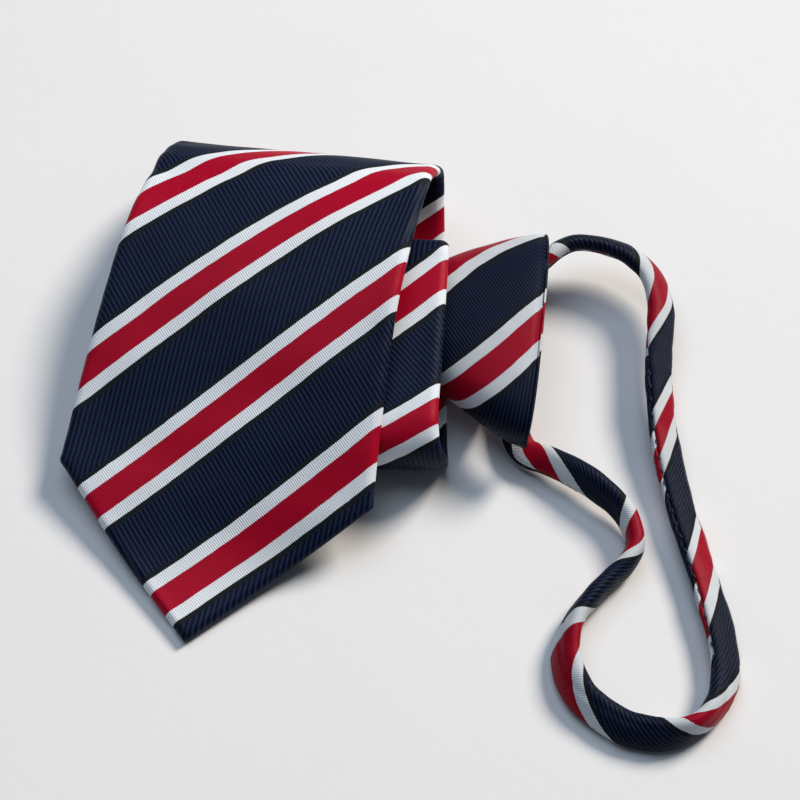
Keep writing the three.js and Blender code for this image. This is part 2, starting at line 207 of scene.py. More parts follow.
def rows_at(rows, knots, where, closed=False, period=0.0):
    """Cubic through a table's rows at the places in `where`, one result row for each."""
    rows = np.asarray(rows, float)
    n = len(rows)
    if closed:
        k = np.concatenate([np.asarray(knots[:n]) - period, knots[:n], np.asarray(knots[:n]) + period])
        r = np.concatenate([rows, rows, rows])
    else:
        k = np.concatenate([[2 * knots[0] - knots[1]], knots, [2 * knots[-1] - knots[-2]]])
        r = np.concatenate([rows[:1], rows, rows[-1:]])
    where = np.asarray(where, float)
    lo, hi = (n, 2 * n - 1) if closed else (1, n - 1)
    i = np.clip(np.searchsorted(k, where, side="right") - 1, lo, hi)
    if closed:
        i = np.clip(i, 1, 3 * n - 3)
    else:
        i = np.clip(i, 1, n - 1)
    h = (k[i + 1] - k[i])[:, None]
    t = (where - k[i])[:, None] / h
    h0 = (k[i] - k[i - 1])[:, None]
    h2 = (k[np.minimum(i + 2, len(k) - 1)] - k[i + 1])[:, None]
    p0, p1, p2, p3 = r[i - 1], r[i], r[i + 1], r[np.minimum(i + 2, len(k) - 1)]
    h2 = np.where(h2 > 0, h2, 1.0)
    d1, d2, d3 = (p1 - p0) / h0, (p2 - p1) / h, (p3 - p2) / h2
    m1 = (d1 * h + d2 * h0) / (h0 + h)
    m2 = (d2 * h2 + d3 * h) / (h + h2)
    return (
        (2 * t**3 - 3 * t**2 + 1) * p1
        + (t**3 - 2 * t**2 + t) * h * m1
        + (-2 * t**3 + 3 * t**2) * p2
        + (t**3 - t**2) * h * m2
    )


def unit(v):
    return v / np.maximum(np.linalg.norm(v, axis=-1, keepdims=True), 1e-9)


def smoothstep(x, a, b):
    t = np.clip((x - a) / (b - a), 0, 1)
    return t * t * (3 - 2 * t)


def half_width(v):
    """Half of the blade's width at a distance v from its apex."""
    return np.where(v < 40, v, 40 - 0.0753 * (v - 40) / 2)


def knot_ring(part, inset, around):
    """One ring of the knot's surface, part 0 to 1 along it, inset from the outer surface."""
    xs = [r[0] for r in KNOT_SECTIONS]
    side = np.array([np.sin(KNOT_SKEW), np.cos(KNOT_SKEW), 0.0])
    t = 2 * np.pi * np.arange(around) / around
    c, s = np.cos(t), np.sin(t)
    cut = smoothstep(-0.33 - s, 0, 0.16) * KNOT_CUT_BACK
    x, y, half, bottom, top, square = rows_at(
        KNOT_SECTIONS, xs, xs[0] + part * (xs[-1] - xs[0] - cut)
    ).T
    a, b, zc = half - inset, (top - bottom) / 2 - inset, (top + bottom) / 2
    px = a * np.sign(c) * np.abs(c) ** (2 / square)
    pz = b * np.sign(s) * np.abs(s) ** (2 / square)
    lip = KNOT_BULGE * np.maximum(0, s) * part**3
    return np.stack([x + lip, y, zc + pz], 1) + side * px[:, None]


# ---- meshes ------------------------------------------------------------------
def new_piece(name, points, quads, corner_uv, material):
    """points in mm, quads of indices, corner_uv the weave's (q, p) in mm for each quad's corners."""
    place = (np.asarray(points) - [CENTRE_X, CENTRE_Y, 0.0]) / 1000.0
    mesh = bpy.data.meshes.new(name)
    mesh.from_pydata(place.tolist(), [], [list(map(int, face)) for face in quads])
    layer = mesh.uv_layers.new(name="weave")
    layer.data.foreach_set("uv", (np.asarray(corner_uv).reshape(-1, 2) / 100.0).ravel().astype(np.float32))
    mesh.polygons.foreach_set("use_smooth", [True] * len(mesh.polygons))
    mesh.materials.append(material)
    mesh.validate()
    mesh.update()
    obj = bpy.data.objects.new(name, mesh)
    bpy.context.scene.collection.objects.link(obj)
    b = bmesh.new()
    b.from_mesh(mesh)
    bmesh.ops.recalc_face_normals(b, faces=b.faces)
    b.to_mesh(mesh)
    b.free()
    return obj


def ripple(u, v, waves):
    """Sum of fixed sine waves: (amplitude, wavelength, direction in degrees, phase)."""
    total = np.zeros(np.broadcast(u, v).shape)
    for amplitude, length, direction, phase in waves:
        a = math.radians(direction)
        total += amplitude * np.sin(2 * np.pi * (u * math.cos(a) + v * math.sin(a)) / length + phase)
    return total


BLADE_WAVES = [(0.22, 61, 78, 0.4), (0.16, 43, 112, 2.1), (0.10, 29, 64, 4.0), (0.05, 17, 95, 1.0), (0.03, 9.5, 125, 5.0)]


def build_blade(material):
    rows = np.array(BLADE_SECTIONS)
    mid = (rows[:, 0] + rows[:, 1]) / 2
    where = np.concatenate([np.linspace(a, b, 7)[:-1] for a, b in zip(mid[:-1], mid[1:])] + [mid[-1:]])
    r = rows_at(rows, mid, where)
    left, right = r[:, 2:5], r[:, 5:8]
    ruling = right - left
    width = np.linalg.norm(ruling, axis=1)
    ruling = unit(ruling)
    normal_l = unit(np.cross(ruling, np.gradient(left, axis=0)))
    normal_r = unit(np.cross(ruling, np.gradient(right, axis=0)))
    edge = np.minimum(EDGE_ROUNDING, 0.42 * width)
    full = np.minimum(1, 0.5 * width / EDGE_ROUNDING)
    half_max = 0.5 * BLADE_THICKNESS * np.sqrt(full * (2 - full))
    turn = np.radians(np.linspace(0, 90, 8))
    middle = 34
    fractions, halves = [], []
    for a in turn[:-1]:
        fractions.append(edge * (1 - math.cos(a)) / width)
        halves.append(half_max * math.sin(a))
    for k in range(middle + 1):
        fractions.append(edge / width + (1 - 2 * edge / width) * k / middle)
        halves.append(half_max)
    for a in turn[:-1][::-1]:
        fractions.append(1 - edge * (1 - math.cos(a)) / width)
        halves.append(half_max * math.sin(a))
    f, half = np.stack(fractions, 1), np.stack(halves, 1)
    n = f.shape[1]
    w_left, w_right = half_width(r[:, 0]), half_width(r[:, 1])
    u = -w_left[:, None] + f * (w_left + w_right)[:, None]
    v = r[:, 0:1] + f * (r[:, 1] - r[:, 0])[:, None]
    w_here = half_width(v)
    inset = np.minimum(f, 1 - f) * width[:, None]
    normal = unit(normal_l[:, None] * (1 - f)[..., None] + normal_r[:, None] * f[..., None])
    base = left[:, None] + (right - left)[:, None] * f[..., None]
    calm = smoothstep(inset, 0, 6) * smoothstep(v, 0, 30)
    shift = ripple(u, v, BLADE_WAVES) * calm
    pucker = 0.10 * np.exp(-inset / 3.0) * np.sin(2 * np.pi * v / 8.3 + 0.7 * np.sin(v / 13.0)) * smoothstep(v, 6, 30)
    # the hems are rolled, so the cloth is a little fuller just inside them
    rolled = 0.18 * np.exp(-((inset - 2.6) / 1.5) ** 2) * (half / np.maximum(half_max[:, None], 1e-6))
    front = base + normal * (half + shift + pucker + rolled)[..., None]
    from_seam = (f - 0.5) * width[:, None]
    seam = -0.55 * np.exp(-((from_seam) / 0.55) ** 2) + 0.16 * np.exp(-((np.abs(from_seam) - 1.6) / 1.0) ** 2)
    seam = seam * smoothstep(v, 30, 55)
    back = base - normal * (half - shift + pucker + rolled + seam)[..., None]
    rings = np.concatenate([front, back[:, 1:-1][:, ::-1]], 1)
    rings[..., 2] = np.maximum(rings[..., 2], 0.0)
    q_front = v - u
    p_front = v + u
    far = np.where(f <= 0.5, -2 * w_here - u, 2 * w_here - u)       # fabric carried round the nearer hem
    m, k = rings.shape[0], rings.shape[1]
    points = rings.reshape(-1, 3)
    quads, uv = [], []

    def back_uv(i, j, side):
        """i row, j column of `back`; side -1 left of the seam, +1 right of it."""
        w2 = 2 * w_here[i, j] * side
        uf = w2 - u[i, j]
        return (v[i, j] - uf, v[i, j] + uf)

    for i in range(m - 1):
        for j in range(k):
            j2 = (j + 1) % k
            quads.append((i * k + j, i * k + j2, (i + 1) * k + j2, (i + 1) * k + j))
            if j < n - 1:
                uv += [(q_front[i, j], p_front[i, j]), (q_front[i, j2], p_front[i, j2]),
                       (q_front[i + 1, j2], p_front[i + 1, j2]), (q_front[i + 1, j], p_front[i + 1, j])]
            else:
                c1, c2 = 2 * (n - 1) - j, 2 * (n - 1) - (j + 1)      # columns, counted back from the right hem
                side = 1 if (c1 + c2) / 2 > (n - 1) / 2 else -1
                uv += [back_uv(i, c1, side), back_uv(i, c2, side), back_uv(i + 1, c2, side), back_uv(i + 1, c1, side)]
    # end caps
    for row, flip in ((0, True), (m - 1, False)):
        base_i = row * k
        for j in range(n - 1):
            a, b = base_i + j, base_i + j + 1
            c = base_i + (2 * (n - 1) - (j + 1)) % k
            d = base_i + (2 * (n - 1) - j) % k
            face = [a, b, c, d]
            face = [x for t, x in enumerate(face) if x not in face[:t]]
            if flip:
                face = face[::-1]
            quads.append(tuple(face))
            uv += [(q_front[row, min(j, n - 1)], p_front[row, min(j, n - 1)])] * len(face)
    return new_piece("blade_cloth", points, quads, np.array(uv), material)


KNOT_FIT = [31.752, 11.76, 10.453, 0.345, 0.324, 0.428, -0.007, -0.553]


def knot_phase(x, arc):
    """Stripe coordinate on the knot: x along it, arc round it from the top towards the near side."""
    xc, ac = np.clip(x, 4, 36), np.clip(arc, -26, 28)
    X, A = (xc - 20) / 10, ac / 10
    b = np.stack([np.ones_like(X), X, A, X * X, X * A, A * A, A**3, X * A * A], -1)
    return b @ np.array(KNOT_FIT) + 1.1 * (x - xc) + 1.0 * (arc - ac) + STRIPE_START


KNOT_WAVES = [(0.16, 23, 20, 0.3), (0.10, 14, 65, 1.9), (0.05, 8, 110, 4.4)]


def build_knot(material):
    around, steps, inner = 168, 54, 26
    radius = KNOT_WALL / 2
    rings, xs_eff = [], []
    length = KNOT_SECTIONS[-1][0] - KNOT_SECTIONS[0][0]
    run = 0.0
    axis = np.array([math.cos(KNOT_SKEW), -math.sin(KNOT_SKEW), 0.0])
    for i in range(steps + 1):
        rings.append(knot_ring(i / steps, 0.0, around))
        xs_eff.append(None)
    rim = np.radians(np.linspace(0, 180, 9))[1:-1]
    end_x = rings[-1][:, 0].copy()
    for a in rim:
        ring = knot_ring(1.0, radius * (1 - math.cos(a)), around)
        rings.append(ring)
        xs_eff.append(end_x + radius * a)
    # the rounding lies inside the rim, so the last outer rings draw back a little
    for a, k in zip(rim, range(steps + 1, steps + 1 + len(rim))):
        rings[k] = rings[k] - axis * radius * (1 - math.sin(a))
    rings[steps] = rings[steps] - axis * radius
    for i in range(inner + 1):
        part = 1 - i / inner
        ring = knot_ring(part, KNOT_WALL, around)
        if i == 0:
            ring = ring - axis * radius
        if i == inner:
            ring = ring + axis * radius
        rings.append(ring)
        xs_eff.append(end_x + radius * math.pi + (end_x - ring[:, 0]))
    start_x = rings[0][:, 0].copy()
    for a in rim:
        ring = knot_ring(0.0, radius * (1 + math.cos(a)), around) + axis * radius * (1 - math.sin(a))
        rings.append(ring)
        xs_eff.append(start_x - radius * (math.pi - a))
    rings[0] = rings[0] + axis * radius
    R = np.array(rings)
    m = len(R)
    # arc from the top's middle, positive towards the near side
    seg = np.linalg.norm(np.roll(R, -1, 1) - R, axis=2)
    cum = np.concatenate([np.zeros((m, 1)), np.cumsum(seg, 1)], 1)
    top = around // 4
    arc = cum - cum[:, top:top + 1]
    half = cum[:, -1:] / 2
    x_eff = np.array([R[i, :, 0] if e is None else e for i, e in enumerate(xs_eff)])
    # soft unevenness on the outer wall, and a shallow line just inside the rim
    centre = R.mean(1, keepdims=True)
    outward = unit((R - centre) * [0.15, 1, 1])
    outer = np.zeros((m, 1))
    outer[: steps + 1, 0] = smoothstep(np.arange(steps + 1), 0, 6) * (1 - smoothstep(np.arange(steps + 1), steps - 5, steps))
    lift = ripple(x_eff, arc[:, :-1], KNOT_WAVES)
    to_rim = end_x[None] - R[..., 0]
    groove = np.zeros_like(lift)
    groove[: steps + 1] = -0.30 * np.exp(-((to_rim[: steps + 1] - 1.7) / 0.42) ** 2)
    R = R + outward * (lift * outer + groove)[..., None]
    quads, uv = [], []
    x_wrap = np.concatenate([x_eff, x_eff[:, :1]], 1)
    far_side = arc > half            # past the bottom's middle the fabric comes round from the far side
    q = knot_phase(x_wrap, arc)
    q_far = knot_phase(x_wrap, arc - 2 * half)
    p = 1.05 * x_wrap - 1.1 * arc
    p_far = 1.05 * x_wrap - 1.1 * (arc - 2 * half)
    for i in range(m):
        i2 = (i + 1) % m
        for j in range(around):
            j2 = (j + 1) % around
            quads.append((i * around + j, i * around + j2, i2 * around + j2, i2 * around + j))
            other = arc[i, j] + 1e-6 >= half[i, 0]
            qq, pp = (q_far, p_far) if other else (q, p)
            uv += [(qq[i, j], pp[i, j]), (qq[i, j + 1], pp[i, j + 1]), (qq[i2, j + 1], pp[i2, j + 1]), (qq[i2, j], pp[i2, j])]
    return new_piece("knot_cloth", R.reshape(-1, 3), quads, np.array(uv), material)


def strap_line():
    rows = np.array(STRAP_SECTIONS)
    step = np.linalg.norm(np.roll(rows[:, :3], -1, 0) - rows[:, :3], axis=1)
    knots = np.concatenate([[0], np.cumsum(step)])
    return rows, knots[:-1], knots[-1]


# where the lengthwise seam runs round the band: s along the loop, angle in degrees
STRAP_SEAM = [(0, 10), (20, -75), (64, -70), (88, 20), (148, 24), (166, 0), (186, -110), (204, -186), (232, -196), (262, -190), (296, -196), (309, -240), (330.1, -340)]
STRAP_WAVES = [(0.10, 21, 10, 0.2), (0.07, 11, 25, 2.2), (0.04, 6.1, -15, 4.0)]


def build_strap(material, thread):
    rows, knots, period = strap_line()
    m = 560
    r = rows_at(rows, knots, np.arange(m) * period / m, True, period)
    c = r[:, :3]
    s = np.concatenate([[0], np.cumsum(np.linalg.norm(np.diff(c, axis=0), axis=1))])
    loop = s[-1] + np.linalg.norm(c[0] - c[-1])
    travel = unit(np.roll(c, -1, 0) - np.roll(c, 1, 0))
    out = unit(np.stack([-travel[:, 1], travel[:, 0], 0 * travel[:, 0]], 1))
    lean = np.radians(r[:, 3:4])
    wide = -np.sin(lean) * out + np.cos(lean) * np.array([0, 0, 1.0])
    wide = unit(wide - (wide * travel).sum(1, keepdims=True) * travel)
    thin = unit(np.cross(wide, travel))
    # section outline, as arc length against angle, over three turns
    degrees = np.arange(-540, 541, 2.0)
    ca, sa = np.cos(np.radians(degrees)), np.sin(np.radians(degrees))
    ea = np.sign(ca) * np.abs(ca) ** 0.85
    eb = np.sign(sa) * np.abs(sa) ** 0.85 * STRAP_THICKNESS / 2
    near = [0.0, 0.16, 0.36, 0.62, 1.0, 1.5]
    count = 27
    seam_angle = np.interp(s, [a for a, _ in STRAP_SEAM], [b for _, b in STRAP_SEAM])
    kernel = np.hanning(21)
    kernel /= kernel.sum()
    padded_angle = np.concatenate([seam_angle[-20:] + 360, seam_angle, seam_angle[:20] - 360])
    seam_angle = np.convolve(padded_angle, kernel, "same")[20:-20]
    points, T, D, outward = [], [], [], []
    for i in range(m):
        px, py = ea * r[i, 4] / 2, eb
        arc = np.concatenate([[0], np.cumsum(np.hypot(np.diff(px), np.diff(py)))])
        around = arc[-1] / 3
        arc0 = arc - np.interp(90, degrees, arc)
        first = np.interp(seam_angle[i], degrees, arc0)
        dist = np.array(near + list(np.linspace(2.0, around - 2.0, count)) + [around - x for x in near[:0:-1]])
        at = first + dist
        angle = np.interp(at, arc0, degrees)
        a, b = np.cos(np.radians(angle)), np.sin(np.radians(angle))
        x = np.sign(a) * np.abs(a) ** 0.85 * r[i, 4] / 2
        y = np.sign(b) * np.abs(b) ** 0.85 * STRAP_THICKNESS / 2
        nrm = np.stack([a * STRAP_THICKNESS, b * r[i, 4]], 1)
        nrm /= np.linalg.norm(nrm, axis=1, keepdims=True)
        to_seam = np.minimum(dist, around - dist)
        push = -0.50 * np.exp(-(to_seam / 0.30) ** 2) + 0.10 * np.exp(-((to_seam - 1.1) / 0.7) ** 2)
        # a fold line of the facing near the outer edge, and a crease that wanders
        # over the upper face from the throat of the loop round its bottom
        line = 0.2 + 0.4 * (np.tanh((s[i] - 84) / 6) - np.tanh((s[i] - 178) / 6))
        push += -0.30 * line * np.exp(-((at - 3.4) / 0.40) ** 2)
        push += 0.14 * line * np.exp(-((at - 2.5) / 0.5) ** 2)
        crease = 0.5 * (np.tanh((s[i] - 150) / 9) - np.tanh((s[i] - 286) / 9))
        crease_at = -0.4 + 1.5 * math.sin(s[i] / 19.0 + 0.6)
        push += -0.20 * crease * np.exp(-((at - crease_at) / 0.42) ** 2)
        push += 0.09 * crease * np.exp(-((at - crease_at - 1.1) / 0.55) ** 2)
        push += ripple(s[i], at, STRAP_WAVES) * 0.9
        q = c[i] + np.outer(x + push * nrm[:, 0], wide[i]) + np.outer(y + push * nrm[:, 1], thin[i])
        points.append(q)
        T.append(-at)
        D.append(around)
        outward.append(np.outer(nrm[:, 0], wide[i]) + np.outer(nrm[:, 1], thin[i]))
    P, T, D, N = np.array(points), np.array(T), np.array(D), np.array(outward)
    P[..., 2] = np.maximum(P[..., 2], 0.0)
    k = P.shape[1]
    # stripe coordinate: each measured boundary is a straight slanting line (s against t)
    S = np.array(STRAP_STRIPES)
    slope = np.clip((S[:, 2] - S[:, 0]) / (S[:, 3] - S[:, 1]), 0.6, 2.1)
    centre_s = (S[:, 0] + S[:, 2]) / 2 - slope * (S[:, 1] + S[:, 3]) / 2
    # t at the seam's far side belongs to the same face, one turn round
    def phase(sv, tv):
        tc = np.clip(tv, -9, 12)
        best = []
        for a, b in zip(np.atleast_1d(sv), np.atleast_1d(tc)):
            lines = np.maximum.accumulate(centre_s + slope * b + np.arange(len(slope)) * 1e-3)
            if a < lines[0]:
                best.append(S[0, 4] + (a - lines[0]) * 1.07)
            elif a > lines[-1]:
                best.append(S[-1, 4] + (a - lines[-1]) * 1.07)
            else:
                best.append(np.interp(a, lines, S[:, 4]))
        return np.array(best) - 1.8 * (tv - tc) + STRIPE_START

    t_all = np.concatenate([T, T[:, :1] - D[:, None]], 1)          # the last column closes at the seam
    Q = np.array([phase(np.full(k + 1, s[i]), t_all[i]) for i in range(m)])
    Q = np.concatenate([Q, [phase(np.full(k + 1, loop), t_all[-1])]], 0)
    lean_of_stripes = 1.6
    g = math.sqrt(1 + lean_of_stripes**2)
    s2 = np.concatenate([s, [loop]])
    Pp = math.sqrt(2) * (-(lean_of_stripes * s2[:, None]) - np.concatenate([t_all, t_all[-1:]], 0)) / g
    quads, uv = [], []
    for i in range(m):
        i2 = (i + 1) % m
        for j in range(k):
            j2 = (j + 1) % k
            quads.append((i * k + j, i * k + j2, i2 * k + j2, i2 * k + j))
            uv += [(Q[i, j], Pp[i, j]), (Q[i, j + 1], Pp[i, j + 1]), (Q[i + 1, j + 1], Pp[i + 1, j + 1]), (Q[i + 1, j], Pp[i + 1, j])]
    strap = new_piece("neck_strap_cloth", P.reshape(-1, 3), quads, np.array(uv), material)

    # slip stitches that close the lengthwise seam
    sp, sq, su = [], [], []
    stitch, pitch = 1.9, 3.7
    for n in range(int(loop // pitch)):
        at = (n + 0.5) * pitch
        if 300 < at or at < 24:
            continue
        i = int(np.searchsorted(s, at)) % m
        seam_at, normal, along = P[i, 0], N[i, 0], travel[i]
        if seam_at[2] < 0.6:
            continue
        across = unit(np.cross(normal, along))
        direction = unit(along + 0.22 * across)
        side = unit(np.cross(normal, direction))
        first = len(sp)
        for a in np.linspace(-1, 1, 7):
            radius = 0.20 * math.sqrt(max(1 - a**4, 0.02))
            mid_point = seam_at + direction * a * stitch / 2 + normal * (0.30 * (1 - a * a) + 0.05)
            for b in range(6):
                w = 2 * math.pi * b / 6
                sp.append(mid_point + radius * (math.cos(w) * side + math.sin(w) * normal))
        for a in range(6):
            for b in range(6):
                b2 = (b + 1) % 6
                sq.append((first + a * 6 + b, first + a * 6 + b2, first + (a + 1) * 6 + b2, first + (a + 1) * 6 + b))
                su += [(a * 0.3, b * 0.2), (a * 0.3, b * 0.2 + 0.2), (a * 0.3 + 0.3, b * 0.2 + 0.2), (a * 0.3 + 0.3, b * 0.2)]
        sq.append(tuple(first + b for b in range(5, -1, -1)))
        su += [(0, 0)] * 6
        sq.append(tuple(first + 36 + b for b in range(6)))
        su += [(2, 0)] * 6
    stitches = new_piece("neck_strap_stitches", np.array(sp), sq, np.array(su), thread)
    return strap, stitches


# ---- materials ---------------------------------------------------------------
class Nodes:
    def __init__(self, material):
        self.tree = material.node_tree
        self.tree.nodes.clear()

    def add(self, kind, **settings):
        node = self.tree.nodes.new(kind)
        for key, value in settings.items():
            setattr(node, key, value)
        return node

    def link(self, a, b):
        self.tree.links.new(a, b)

    def math(self, operation, a, b=None, clamp=False):
        node = self.add("ShaderNodeMath", operation=operation, use_clamp=clamp)
        for socket, value in zip(node.inputs, (a, b)):
            if value is None:
                continue
            if isinstance(value, (int, float)):
                socket.default_value = value
            else:
                self.link(value, socket)
        return node.outputs[0]

    def bands(self, fac, stops, interpolation="CONSTANT"):
        node = self.add("ShaderNodeValToRGB")
        ramp = node.color_ramp
        ramp.interpolation = interpolation
        while len(ramp.elements) > 1:
            ramp.elements.remove(ramp.elements[-1])
        ramp.elements[0].position = stops[0][0]
        ramp.elements[0].color = (*stops[0][1], 1)
        for position, color in stops[1:]:
            e = ramp.elements.new(position)
            e.color = (*color, 1)
        self.link(fac, node.inputs[0])
        return node.outputs[0]

    def mix(self, fac, a, b, blend="MIX"):
        node = self.add("ShaderNodeMix", data_type="RGBA", blend_type=blend)
        for socket, value in ((node.inputs[0], fac), (node.inputs[6], a), (node.inputs[7], b)):
            if isinstance(value, (int, float)):
                socket.default_value = value
            elif isinstance(value, tuple):
                socket.default_value = (*value, 1)
            else:
                self.link(value, socket)
        return node.outputs[2]


# the navy cloth runs from painted shade in its rib valleys to a painted highlight on its ribs
NAVY_VALLEY_SHADE, NAVY_RIB_HIGHLIGHT = (0.0006, 0.0020, 0.0085), (0.0110, 0.0225, 0.0630)
BLACK = (0.0085, 0.0105, 0.0145)
WHITE_LOW, WHITE_HIGH = (0.52, 0.56, 0.62), (0.74, 0.78, 0.82)
RED_LOW, RED_HIGH = (0.270, 0.0004, 0.0125), (0.385, 0.0016, 0.0215)


def woven(name, slash=(0.3856, -0.4287), back=(0.613, -0.047), turn_from=150.0, painted_light_gain=1.0):
    material = bpy.data.materials.new(name)
    material.use_nodes = True
    n = Nodes(material)
    out = n.add("ShaderNodeOutputMaterial")
    shader = n.add("ShaderNodeBsdfPrincipled")
    n.link(shader.outputs[0], out.inputs[0])
    uv = n.add("ShaderNodeUVMap", uv_map="weave")
    sep = n.add("ShaderNodeSeparateXYZ")
    n.link(uv.outputs[0], sep.inputs[0])
    q = n.math("MULTIPLY", sep.outputs[0], 100.0)
    p = n.math("MULTIPLY", sep.outputs[1], 100.0)
    along = n.math("MULTIPLY", p, 0.70711)             # mm along a stripe
    # threads make the stripes' edges step by half a millimetre
    step_wave = n.math("SINE", n.math("MULTIPLY", along, 2 * math.pi / 0.66))
    cloud = n.add("ShaderNodeTexNoise", noise_dimensions="2D")
    cloud.inputs["Scale"].default_value = 9.0
    cloud.inputs["Detail"].default_value = 3.0
    n.link(uv.outputs[0], cloud.inputs["Vector"])
    drift = n.math("MULTIPLY", n.math("SUBTRACT", cloud.outputs[0], 0.5), 0.5)
    q_edge = n.math("ADD", n.math("ADD", q, n.math("MULTIPLY", step_wave, 0.10)), drift)
    phase = n.math("FRACT", n.math("DIVIDE", n.math("SUBTRACT", q_edge, STRIPE_START - LINE_WIDTH), STRIPE_PERIOD))
    a = LINE_WIDTH / STRIPE_PERIOD
    b = a + WHITE_WIDTH / STRIPE_PERIOD
    c = b + RED_WIDTH / STRIPE_PERIOD
    d = c + WHITE_WIDTH / STRIPE_PERIOD
    e = d + LINE_WIDTH / STRIPE_PERIOD

    def by_band(line, white, red, navy):
        return n.bands(phase, [(0.0, line), (a, white), (b, red), (c, white), (d, line), (e, navy)])

    # ribs: from one navy band to the next they lean the other way; white and red
    # have finer ones, straight across the stripe
    index = n.math("FLOOR", n.math("DIVIDE", n.math("SUBTRACT", q_edge, STRIPE_START - LINE_WIDTH), STRIPE_PERIOD))
    odd = n.math("MULTIPLY", n.math("FRACT", n.math("MULTIPLY", index, 0.5)), 2.0)
    leans = n.math("ABSOLUTE", n.math("SUBTRACT", odd, n.math("GREATER_THAN", q, turn_from)))
    at_slash = n.math("ADD", n.math("MULTIPLY", p, slash[0]), n.math("MULTIPLY", q, slash[1]))
    at_back = n.math("ADD", n.math("MULTIPLY", p, back[0]), n.math("MULTIPLY", q, back[1]))
    navy_at = n.math("ADD", at_back, n.math("MULTIPLY", leans, n.math("SUBTRACT", at_slash, at_back)))
    navy_wave = n.math("SINE", n.math("MULTIPLY", navy_at, 2 * math.pi))
    navy_rib = n.math("POWER", n.math("ADD", n.math("MULTIPLY", navy_wave, 0.5), 0.5), 1.7)
    thread = n.math("SINE", n.math("MULTIPLY", q, 2 * math.pi / 0.62))
    navy_rib = n.math("MULTIPLY", navy_rib, n.math("ADD", n.math("MULTIPLY", thread, 0.16), 0.84))
    fine_wave = n.math("SINE", n.math("MULTIPLY", along, 2 * math.pi / 0.56))
    fine_rib = n.math("ADD", n.math("MULTIPLY", fine_wave, 0.5), 0.5)
    fibre = n.add("ShaderNodeTexNoise", noise_dimensions="2D")
    fibre.inputs["Scale"].default_value = 260.0
    fibre.inputs["Detail"].default_value = 2.0
    n.link(uv.outputs[0], fibre.inputs["Vector"])
    speck = n.math("SUBTRACT", fibre.outputs[0], 0.5)
    # the navy's colour across each rib is painted light: painted shade in the valley and a painted highlight on the
    # rib, over the rib's bump
    navy = n.mix(n.math("ADD", navy_rib, n.math("MULTIPLY", speck, 0.35), clamp=True), NAVY_VALLEY_SHADE, NAVY_RIB_HIGHLIGHT)
    white = n.mix(n.math("ADD", fine_rib, n.math("MULTIPLY", speck, 0.5), clamp=True), WHITE_LOW, WHITE_HIGH)
    red = n.mix(n.math("ADD", n.math("MULTIPLY", fine_rib, 0.7), n.math("MULTIPLY", speck, 0.8), clamp=True), RED_LOW, RED_HIGH)
    black = n.mix(n.math("ADD", speck, 0.5, clamp=True), (0.0045, 0.0055, 0.0075), (0.0100, 0.0120, 0.0160))
    is_white = by_band((0, 0, 0), (1, 1, 1), (0, 0, 0), (0, 0, 0))
    is_red = by_band((0, 0, 0), (0, 0, 0), (1, 1, 1), (0, 0, 0))
    is_line = by_band((1, 1, 1), (0, 0, 0), (0, 0, 0), (0, 0, 0))
    color = n.mix(is_line, n.mix(is_red, n.mix(is_white, navy, white), red), black)
    # slow random variation of the dye, with painted light catch; the gain is painted light too, making each piece's
    # copy of the cloth brighter or darker for how the light falls on it
    slow = n.add("ShaderNodeTexNoise", noise_dimensions="2D")
    slow.inputs["Scale"].default_value = 3.2
    slow.inputs["Detail"].default_value = 2.0
    n.link(uv.outputs[0], slow.inputs["Vector"])
    tone = n.math("ADD", n.math("MULTIPLY", slow.outputs[0], 0.24 * painted_light_gain), 0.88 * painted_light_gain)
    value = n.add("ShaderNodeHueSaturation")
    n.link(tone, value.inputs["Value"])
    n.link(color, value.inputs["Color"])
    n.link(value.outputs[0], shader.inputs["Base Color"])
    rough = by_band((0.62,) * 3, (0.50,) * 3, (0.40,) * 3, (0.46,) * 3)
    n.link(n.math("ADD", rough, n.math("MULTIPLY", speck, 0.12)), shader.inputs["Roughness"])
    # height
    fine_height = n.math("MULTIPLY", fine_rib, by_band((0.15,) * 3, (0.55,) * 3, (0.30,) * 3, (0.0,) * 3))
    navy_height = n.math("MULTIPLY", navy_rib, by_band((0.0,) * 3, (0.0,) * 3, (0.0,) * 3, (1.0,) * 3))
    plane = by_band((0.25,) * 3, (0.9,) * 3, (1.0,) * 3, (0.35,) * 3)
    height = n.math("ADD", n.math("ADD", fine_height, navy_height), n.math("ADD", plane, n.math("MULTIPLY", speck, 0.5)))
    bump = n.add("ShaderNodeBump")
    bump.inputs["Strength"].default_value = 0.55
    bump.inputs["Distance"].default_value = 0.00016
    n.link(height, bump.inputs["Height"])
    n.link(bump.outputs[0], shader.inputs["Normal"])
    shader.inputs["Sheen Weight"].default_value = 0.02
    shader.inputs["Sheen Roughness"].default_value = 0.45
    shader.inputs["Specular IOR Level"].default_value = 0.08
    return material


def sewing_thread():
    material = bpy.data.materials.new("sewing_thread")
    material.use_nodes = True
    n = Nodes(material)
    out = n.add("ShaderNodeOutputMaterial")
    shader = n.add("ShaderNodeBsdfPrincipled")
    n.link(shader.outputs[0], out.inputs[0])
    uv = n.add("ShaderNodeUVMap", uv_map="weave")
    sep = n.add("ShaderNodeSeparateXYZ")
    n.link(uv.outputs[0], sep.inputs[0])
    twist = n.math("SINE", n.math("MULTIPLY", n.math("ADD", sep.outputs[0], sep.outputs[1]), 100 * 2 * math.pi / 0.35))
    color = n.mix(n.math("ADD", n.math("MULTIPLY", twist, 0.5), 0.5), (0.006, 0.008, 0.016), (0.022, 0.028, 0.050))
    n.link(color, shader.inputs["Base Color"])
    shader.inputs["Roughness"].default_value = 0.6
    bump = n.add("ShaderNodeBump")
    bump.inputs["Strength"].default_value = 0.5
    bump.inputs["Distance"].default_value = 0.00005
    n.link(twist, bump.inputs["Height"])
    n.link(bump.outputs[0], shader.inputs["Normal"])
    return material


